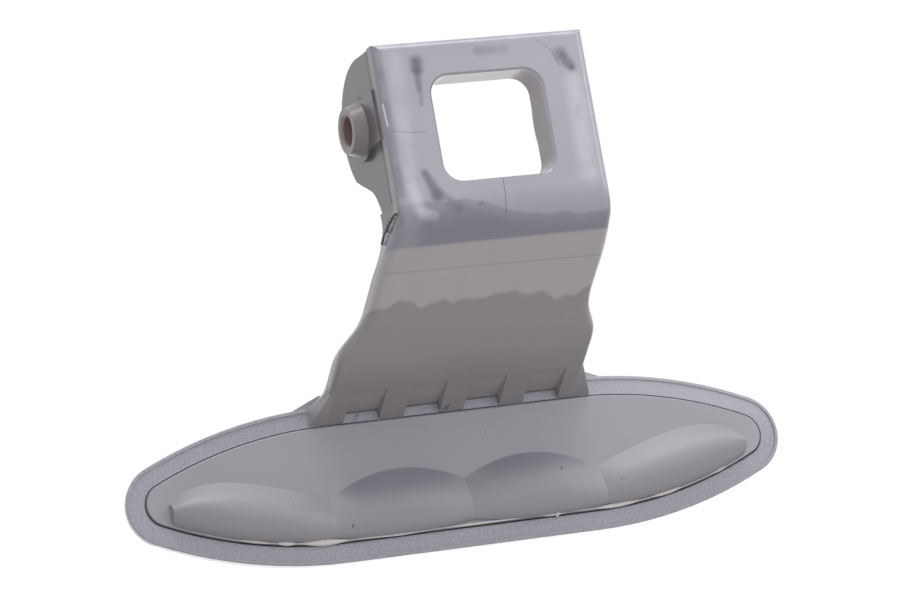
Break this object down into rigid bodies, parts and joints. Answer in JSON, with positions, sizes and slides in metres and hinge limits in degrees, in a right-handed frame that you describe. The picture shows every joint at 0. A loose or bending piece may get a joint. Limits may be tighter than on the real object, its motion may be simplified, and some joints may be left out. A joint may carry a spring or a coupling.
{
  "type": "washing machine door handle",
  "caption": "Silver plastic door handle that turns on a pin through its pivot housing, with a latch window and a wide oval finger grip on a bent neck.",
  "frame": {"origin": "middle of the pivot bore, on its axis", "axes": "+X along the pivot bore, +Y away from the hand side towards the outer front of the paddle, +Z from the grip paddle up to the pivot housing"},
  "size_m": [0.1352, 0.0578, 0.0876],
  "materials": {
    "silver_paint": "semi-gloss silver paint over grey plastic",
    "grey_plastic": "satin, unpainted"
  },
  "bodies": {
    "root": {"lever": "silver_paint", "grip_insert": "grey_plastic"}
  },
  "joints": []
}
